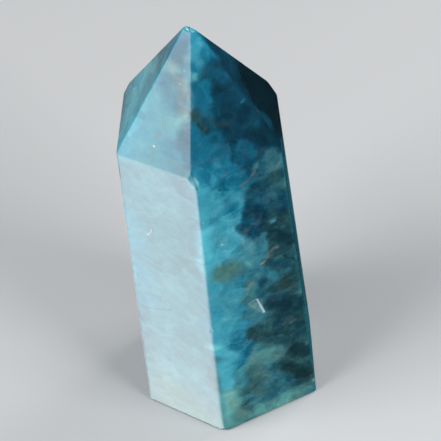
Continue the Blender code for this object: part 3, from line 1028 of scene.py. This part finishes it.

# %% [markdown]
# A stone is known by its small marks as well: streaks of rust and dark dots. A few marks are
# painted light instead: the flash is a painted highlight where a cleavage catches the light, the
# glints are painted highlights of cracks, and a pale line along the right edge is a painted
# reflection. They could be modelled as pieces inside the stone, but the polish is smooth over
# them, so they are strokes of colour. Most get the small push that the zones get, and a few crisp
# ones stay straight.

# %% Thin marks placed one by one
MARKS = (
    # (what it is, points of its line, radius in mm, strength, its colour from 0 to 255)
    ("dark dot on the crown", ((196, 71),), 0.16, 0.7, (52, 80, 92)),
    ("bright spots on the crown", ((244.5, 99.5), (240.5, 103)), 0.16, 0.35, (60, 140, 160)),
    ("rust by the crown ridge", ((192, 113), (195, 119), (198, 122), (204.5, 128.5)), 0.32, 0.9,
     (50, 70, 58)),
    ("dark beside the rust", ((199, 125), (205, 132)), 0.4, 0.7, (14, 54, 60)),
    ("rust, side branch", ((205, 129), (208, 120), (212, 119)), 0.22, 0.6, (44, 80, 84)),
    ("brown smear", ((219, 124), (229, 122.5)), 0.45, 0.6, (42, 62, 66)),
    ("border of the brown shade", ((208, 130), (220, 129.5), (228, 137), (232, 148), (234, 163)),
     0.22, 0.45, (16, 56, 72)),
    ("brown spots", ((261, 151), (262, 150)), 0.35, 0.7, (48, 66, 74)),
    ("brown spots, lower", ((257.5, 156), (257, 157)), 0.35, 0.6, (40, 68, 78)),
    ("pink streak", ((276, 168.5), (280, 163), (284, 159.5)), 0.26, 0.8, (98, 116, 118)),
    ("orange streak", ((240.5, 186), (244, 183), (248, 180), (253, 174.5), (257, 164)), 0.28, 0.8,
     (88, 106, 106)),
    ("dark dot", ((219.3, 190.5),), 0.17, 0.9, (10, 60, 80)),
    ("pale line", ((230, 222), (237, 233), (243, 242), (245, 248)), 0.13, 0.55, (110, 170, 188)),
    # painted highlight: a crack that catches the light
    ("glint by the plate", ((272.5, 222),), 0.32, 0.7, (84, 146, 162)),
    ("orange grains", ((208, 231), (208, 231)), 0.16, 0.8, (150, 158, 150)),
    ("orange grain, right", ((215, 239), (215, 239)), 0.15, 0.8, (140, 156, 150)),
    ("orange grain, upper", ((203, 223), (203, 223)), 0.15, 0.8, (150, 176, 172)),
    ("orange grain, lower", ((228.5, 258), (229, 257)), 0.16, 0.8, (116, 146, 146)),
    ("pink grain", ((221, 250), (221, 250)), 0.16, 0.8, (140, 160, 162)),
    ("white grain", ((222, 244.5), (222, 245)), 0.14, 0.9, (150, 200, 212)),
    ("pale spot by the olive patch", ((220, 264.5),), 0.42, 0.6, (130, 176, 176)),
    ("dark dots", ((240.3, 262), (240, 264)), 0.16, 0.6, (56, 96, 100)),
    ("rust streak", ((261.5, 264.5), (264, 262), (267, 256), (269.5, 252.5), (274, 249)), 0.26,
     0.85, (108, 116, 104)),
    ("pale end of the rust streak", ((260.5, 264.5), (263.5, 263)), 0.2, 0.8, (136, 154, 150)),
    ("pale head of the rust streak", ((275, 248), (278, 247.5)), 0.22, 0.7, (112, 126, 134)),
    ("dark line", ((284, 255), (291, 258.5), (297, 261)), 0.22, 0.7, (10, 32, 38)),
    ("brownish smear", ((281, 282), (293, 287)), 0.55, 0.6, (48, 70, 68)),
    ("brown streak", ((245.6, 291), (249, 287), (252.5, 282)), 0.24, 0.8, (110, 132, 130)),
    ("veil", ((252, 304), (259, 308)), 0.55, 0.32, (130, 166, 170)),
    ("edge of the veil, left", ((248.8, 304), (256.4, 298.8)), 0.12, 0.35, (150, 182, 186)),
    ("edge of the veil, below", ((248.8, 304), (256, 309), (263, 312.5)), 0.12, 0.25,
     (136, 172, 176)),
    # painted highlight: the flash, where a cleavage inside the stone catches the light
    ("flash", ((257.2, 299.5), (264.2, 312)), 0.12, 0.9, (178, 200, 208)),
    ("flash, broad end", ((260.5, 305.5), (264.2, 312)), 0.18, 0.8, (172, 194, 206)),
    ("pink flash", ((291, 323), (296, 320)), 0.3, 0.6, (88, 110, 114)),
    ("blue spot", ((285, 337.5),), 0.4, 0.7, (36, 86, 100)),
    ("pink spot in the pale lens", ((276.5, 356),), 0.3, 0.8, (118, 126, 124)),
    ("pink spot beside it", ((250.5, 360),), 0.3, 0.6, (108, 138, 134)),
    ("brown spot", ((255, 383),), 0.3, 0.8, (76, 98, 92)),
    ("brown at the foot", ((233, 403), (240, 411), (246, 416)), 0.6, 0.45, (104, 124, 108)),
    # painted reflection: the pale line along the rounded right edge
    ("painted reflection on the right rim", ((310.4, 324), (312.6, 350), (314.2, 380)), 0.35, 0.9, (120, 150, 142)),
    ("dark band by the left crown ridge", ((159, 64), (166, 50)), 0.5, 0.6, (40, 88, 94)),
    ("brown streak on the left crown", ((140, 92), (137.5, 101)), 0.4, 0.5, (88, 110, 106)),
    ("orange spot on the crown ridge", ((164.6, 68),), 0.22, 0.45, (140, 130, 104)),
    ("pink streak on the crown", ((184, 102), (187, 96)), 0.2, 0.35, (130, 132, 120)),
    ("white dots on the crown", ((183.5, 70.5), (183.6, 70.5)), 0.16, 0.35, (190, 215, 215)),
    ("white dots on the crown, lower", ((180.2, 84.6), (180.3, 84.6)), 0.16, 0.35,
     (190, 215, 215)),
    ("white dot by the hairline", ((153.8, 146.2), (154.1, 146.4)), 0.15, 0.8, (230, 236, 225)),
    ("brown hairline", ((168, 118), (161, 130), (155, 143), (150, 156), (147, 167)), 0.2, 0.3,
     (110, 116, 100)),
    ("curved hairline", ((148, 262), (158, 269), (167, 278)), 0.13, 0.7, (36, 100, 112)),
    ("crack across the left side", ((139, 304), (150, 308.5), (173, 310)), 0.15, 0.7,
     (34, 96, 106)),
    ("cream on the crown", ((172, 66), (184, 90), (184, 124)), 0.9, 0.25, (160, 170, 160)),
    ("bright dash", ((147.5, 233.5), (151, 229.5)), 0.11, 0.5, (235, 240, 238)),
    ("dark side of the dash", ((152, 227.5), (156, 224.5)), 0.10, 0.5, (60, 130, 145)),
    ("warm end of the dash", ((146, 236), (149, 234.5)), 0.12, 0.3, (190, 180, 160)),
    ("bruised corner", ((193, 179), (196, 186.5)), 0.42, 0.6, (138, 196, 204)),
    ("olive stain", ((223, 270), (231, 269)), 1.0, 0.4, (80, 116, 90)),
    ("olive stain, lower", ((224, 278), (228, 281)), 0.8, 0.35, (80, 116, 90)),
)
CRISP = (
    "flash", "flash, broad end", "edge of the veil, left", "edge of the veil, below",
    "white grain", "dark dot", "white dot by the hairline",
)
MARK_SOFTNESS = 0.6

def line_mask(base, points, radius):
    """Where a line through several points of the picture is, as the most of its pieces' masks."""
    points = points if len(points) > 1 else points * 2
    best = None
    for start, end in zip(points, points[1:]):
        here = mask_of(base, start, end, radius, MARK_SOFTNESS)
        best = here if best is None else calc(net, "MAXIMUM", best, here)
    return best

patchy = ramp(net, stirred, 0.25, 0.65, 0.45, 1.0)
for name, points, radius, strength, colour in MARKS:
    base = point if name in CRISP else placed
    share = product(net, line_mask(base, points, radius), strength)
    if name not in CRISP:
        share = product(net, share, patchy)
    body = mix(share, body, shown(*colour))
print(len(MARKS), "thin marks placed")

# %% [markdown]
# Apatite is soft for a gem, so its polish is good but not perfect: it has smudges, a little
# combing from the last wheel, open hairlines and pits. Below the polish, light goes a few
# millimetres in and comes back blue. Paint under a clear coat would shine the same and look
# flat, so the colour scatters below the surface, and red dies out first.

# %% The polish and the light below it
SHEEN = 0.105  # the roughness of the clean polish
RELIEF = 0.012 * MM
SCATTER = 4.0 * MM  # how deep light goes, times the share of red, green and blue that follows
SCATTER_SHARES = (0.25, 0.85, 1.0)
fill(net, skin.inputs["Base Color"], body)
skin.inputs["IOR"].default_value = 1.63  # apatite
smudges = use(net, clouds, Point=point, Size=6.0, Detail=4.0, Low=0.4, High=0.7, Seed=23.0)
combed = add(net, "ShaderNodeMapping", {
    "Vector": point, "Rotation": (0.3, 0.9, 0.2), "Scale": (1.0, 0.06, 1.0),
}).outputs[0]
scratches = use(net, clouds, Point=combed, Size=0.25, Detail=1.0, Low=0.62, High=0.72, Seed=29.0)
rough = weighed(SHEEN, [(smudges, 0.05)])
rough = calc(net, "ADD", rough, product(net, scratches, 0.06))
fill(net, skin.inputs["Roughness"], rough)
pits = use(net, specks, Point=point, Spacing=3.0, Radius=0.22, Share=0.35)
hairline = use(net, veins, Point=swept, Size=11.0, Width=0.006, Cover=0.5, Seed=31.0)
waves = use(net, clouds, Point=point, Size=2.2, Detail=1.0, Seed=37.0)
relief = weighed(0.0, [(waves, 0.5)])
relief = calc(net, "SUBTRACT", relief, product(net, pits, 0.8))
relief = calc(net, "SUBTRACT", relief, product(net, hairline, 0.6))
dented = add(net, "ShaderNodeBump", {"Height": relief, "Distance": RELIEF, "Strength": 1.0})
fill(net, skin.inputs["Normal"], dented.outputs[0])
skin.inputs["Subsurface Weight"].default_value = 1.0
skin.inputs["Subsurface Radius"].default_value = SCATTER_SHARES
skin.inputs["Subsurface Scale"].default_value = SCATTER
print("stone material:", len(net.nodes), "nodes")

# %% [markdown]
# ## Cutting the stone
#
# The blank, the grinding tree and the material come together here. The tree runs once, and its
# result is kept as a plain mesh, with no modifier left on it.

# %% Run the grinding
def ground_stone(piece, material):
    """Runs the tree on the blank and returns the result as a plain mesh object."""
    grinder = piece.modifiers.new("grind", "NODES")
    grinder.node_group = grinding
    for socket, value in tree_values.items():
        grinder[socket] = material if value is None else value
    bpy.context.view_layer.update()
    evaluated = piece.evaluated_get(bpy.context.evaluated_depsgraph_get())
    mesh = bpy.data.meshes.new_from_object(evaluated)
    piece.modifiers.clear()
    piece.data = mesh
    return piece

wand = ground_stone(blank, stone)
wand.data.name = "wand_stone"
low = np.min([v.co for v in wand.data.vertices], 0)
high = np.max([v.co for v in wand.data.vertices], 0)
print("stone in mm:", (low / MM).round(2), (high / MM).round(2))

# %% [markdown]
# ## The stage
#
# The wand stands on a plain pale floor in soft light. Its left faces shine with a pale veil in
# the photo while the right faces stay deep blue: the polish mirrors something bright low on
# the left and something dark on the right. Two soft lights overhead light the stone itself, and
# two reflector cards on the left are seen only in the polish, which lays the veil on.

# %% The floor
FLOOR_REACH = 1.5  # from the middle to each side
corners = [(x * FLOOR_REACH, y * FLOOR_REACH, 0) for x, y in ((-1, -1), (1, -1), (1, 1), (-1, 1))]
floor_mesh = bpy.data.meshes.new("floor")
floor_mesh.from_pydata(corners, [], [(0, 1, 2, 3)])
floor = bpy.data.objects.new("floor", floor_mesh)
bpy.context.scene.collection.objects.link(floor)
pale = bpy.data.materials.new("pale_floor")
pale.use_nodes = True
pale_skin = pale.node_tree.nodes["Principled BSDF"]
pale_skin.inputs["Base Color"].default_value = (0.62, 0.63, 0.64, 1)
pale_skin.inputs["Roughness"].default_value = 0.9
pale_skin.inputs["Specular IOR Level"].default_value = 0.0
floor_mesh.materials.append(pale)
floor.visible_glossy = False
print("floor:", 2 * FLOOR_REACH, "m across")

# %% [markdown]
# A bare lamp would show in the polish as a hard dot. Large squares of light give soft shading,
# and they stand where no face that the camera sees mirrors them. The two cards are seen only by
# the polish, which lets them veil a face without lighting the stone.

# %% The lights
away = Vector((-across.y, across.x, 0))

def from_camera(right, back, up):
    """A place given as millimetres to the picture's right, away from the camera, and up."""
    return (across * right + away * back + Vector((0, 0, up))) * MM

def soft_light(name, place, target, size, radiance, polish_only=False):
    """A square soft light of a given brightness, aimed at a target."""
    data = bpy.data.lights.new(name, "AREA")
    data.shape = "RECTANGLE"
    data.size = size[0] * MM
    data.size_y = size[1] * MM
    data.energy = radiance * math.pi * data.size * data.size_y
    lamp = bpy.data.objects.new(name, data)
    lamp.location = place
    lamp.rotation_euler = (target - place).to_track_quat("-Z", "Y").to_euler()
    lamp.visible_camera = False
    if polish_only:
        lamp.visible_diffuse = False
        lamp.visible_transmission = False
    bpy.context.scene.collection.objects.link(lamp)
    return lamp

LIGHTS = (
    # (name, right, away and up in mm, width and height in mm, brightness, only in the polish)
    ("overhead_left", (-320, -120, 420), (300, 300), 6.4, False),
    ("overhead_right", (320, -260, 300), (260, 260), 7.0, False),
    ("low_right", (300, 150, 330), (200, 200), 5.0, False),
    ("side_card", (-240, -130, 55), (130, 110), 3.4, True),
)
middle_of_stone = Vector((0, 0, 0.5 * HEIGHT))
for name, spot, size, radiance, polish_only in LIGHTS:
    soft_light(name, from_camera(*spot), middle_of_stone, size, radiance, polish_only)
behind = from_camera(-70, 95, 1.5)
soft_light("back_left_card", behind, behind + Vector((0, 0, 1)), (120, 120), 0.25, True)
print(len(LIGHTS) + 1, "soft lights")

# %% [markdown]
# The low card lies on the floor, where the front left side mirrors it. Every point of that side
# mirrors the floor at a place that moves out from the foot as the point rises, so the card
# is a long shape that starts at the foot. It fades beside the front ridge, because there
# the veil gives way to blue over the rounded edge, and it glows a little more near the foot.

# %% The low card
facing_veil = sides[0][1]
glance = 2 * backward.dot(facing_veil) * facing_veil - backward  # where the polish turns the view
sweep = Vector((glance.x, glance.y, 0)) / -glance.z  # how far out, for each step up
front_foot = Vector((*corner(SIDE_FACING, SIDE_REACH, 0, 0.0), 0))
left_foot = Vector((*corner(SIDE_FACING, SIDE_REACH, COUNT - 1, 0.0), 0))
along_foot = (left_foot - front_foot).normalized()
beside = Vector((-sweep.y, sweep.x, 0)).normalized()  # towards the front ridge's other side
if beside.dot(along_foot) > 0:
    beside = -beside

def card_mesh(name, corners):
    """A flat card, from its corners on the floor."""
    mesh = bpy.data.meshes.new(name)
    mesh.from_pydata(corners, [], [(0, 1, 2, 3)])
    card = bpy.data.objects.new(name, mesh)
    bpy.context.scene.collection.objects.link(card)
    card.visible_camera = False
    card.visible_diffuse = False
    card.visible_transmission = False
    card.visible_shadow = False
    return card

CARD_LIFT = Vector((0, 0, 0.03 * MM))
CARD_GAP = 0.10 * MM  # between the foot of the side and the card
CARD_SWEEP = 250 * MM  # the card reaches out as far as a side of this height would mirror
off = Vector((facing_veil.x, facing_veil.y, 0)).normalized() * CARD_GAP
low_card = card_mesh("low_card", [
    front_foot + off - along_foot * 6 * MM + CARD_LIFT,
    left_foot + off + along_foot * 3 * MM + CARD_LIFT,
    left_foot + sweep * CARD_SWEEP + along_foot * 60 * MM + CARD_LIFT,
    front_foot + sweep * CARD_SWEEP + beside * 200 * MM + CARD_LIFT,
])
card_look = bpy.data.materials.new("low_card")
card_look.use_nodes = True
card_look.cycles.emission_sampling = "NONE"
tree = card_look.node_tree
tree.nodes.clear()
spot = add(tree, "ShaderNodeTexCoord").outputs["Object"]
from_front = vector(tree, "SUBTRACT", spot, front_foot)
from_left = vector(tree, "SUBTRACT", spot, left_foot)
past_ridge = vector(tree, "DOT_PRODUCT", vector(tree, "NORMALIZE", from_front), beside)
past_left = vector(tree, "DOT_PRODUCT", vector(tree, "NORMALIZE", from_left), beside)
off_foot = Vector((-along_foot.y, along_foot.x, 0))
risen = vector(tree, "DOT_PRODUCT", from_front, off_foot / (off_foot.dot(sweep) * MM))
by_foot = ramp(tree, risen, 0.0, 22.0, 4.15, 3.65)
by_shoulder = ramp(tree, risen, 40.0, 56.0, 0.0, 0.4)
glow = calc(tree, "ADD", by_foot, by_shoulder)
glow = product(tree, glow, ramp(tree, past_ridge, 0.0, 0.8, 1.0, 0.0))
glow = product(tree, glow, ramp(tree, past_left, -0.7, -0.1, 0.0, 1.0))
shine = add(tree, "ShaderNodeEmission", {"Color": (1.0, 1.0, 1.0, 1.0), "Strength": glow})
add(tree, "ShaderNodeOutputMaterial", {"Surface": shine.outputs[0]})
low_card.data.materials.append(card_look)
print("the low card sweeps", sweep.to_tuple(2), "for each millimetre up")

# %% [markdown]
# The rounded ridges at the outline mirror what lies beside and behind the stone. A pale card on
# the left gives that ridge its bright rim. Two teal ones on the right, the farther one fainter,
# give the thin line there. Lamps could do it too, but they would light the stone.

# %% Faint cards beside the left and right ridges, which mirror them
def plain_glow(name, strength, colour=(1.0, 1.0, 1.0, 1.0)):
    """A material that glows evenly."""
    look = bpy.data.materials.new(name)
    look.use_nodes = True
    look.cycles.emission_sampling = "NONE"
    look.node_tree.nodes.clear()
    glow = add(look.node_tree, "ShaderNodeEmission", {"Color": colour, "Strength": strength})
    add(look.node_tree, "ShaderNodeOutputMaterial", {"Surface": glow.outputs[0]})
    return look

right_foot = Vector((*corner(SIDE_FACING, SIDE_REACH, 1, 0.0), 0))
left_fan = card_mesh("left_ridge_card", [
    left_foot - along_foot * 0.2 * MM + CARD_LIFT,
    left_foot + from_camera(-45, -5, 0) + CARD_LIFT,
    left_foot + from_camera(-45, 45, 0) + CARD_LIFT,
    left_foot + from_camera(-2, 45, 0) + CARD_LIFT,
])
left_fan.data.materials.append(plain_glow("left_ridge_card", 1.6))
TEAL = (0.12, 0.75, 0.9, 1.0)
RIGHT_CARDS = (("right_ridge_near", 0, 16, 0.13), ("right_ridge_far", 16, 50, 0.07))
for name, near, far, strength in RIGHT_CARDS:
    right_fan = card_mesh(name, [
        right_foot + from_camera(-1, near, 0) + CARD_LIFT,
        right_foot + from_camera(45, near, 0) + CARD_LIFT,
        right_foot + from_camera(45, far, 0) + CARD_LIFT,
        right_foot + from_camera(-1, far, 0) + CARD_LIFT,
    ])
    right_fan.data.materials.append(plain_glow(name, strength, TEAL))
print("cards for the ridges: 1 on the left,", len(RIGHT_CARDS), "on the right")

# %% [markdown]
# The stone is lit from all round, but the room that it mirrors is dark, which keeps the right
# faces deep. One background can't be both, so the rays that leave the polish see a darker one.

# %% The room: pale for the stone itself, dark for its polish
world = bpy.data.worlds.new("studio")
world.use_nodes = True
room = world.node_tree
in_polish = add(room, "ShaderNodeLightPath").outputs["Is Glossy Ray"]
room_light = room.nodes["Background"].inputs
room_light["Color"].default_value = (0.9, 0.95, 1.0, 1)
PALE_ROOM, DARK_ROOM = 0.12, 0.006
strength = ramp(room, in_polish, 0.0, 1.0, PALE_ROOM, DARK_ROOM, "LINEAR")
fill(room, room_light["Strength"], strength)
bpy.context.scene.world = world
bpy.context.scene.view_settings.view_transform = "Standard"
print("the polish sees the room", round(PALE_ROOM / DARK_ROOM), "times darker")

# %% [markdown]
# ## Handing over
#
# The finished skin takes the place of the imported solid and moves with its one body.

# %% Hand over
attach(wand, "root")
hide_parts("wand")
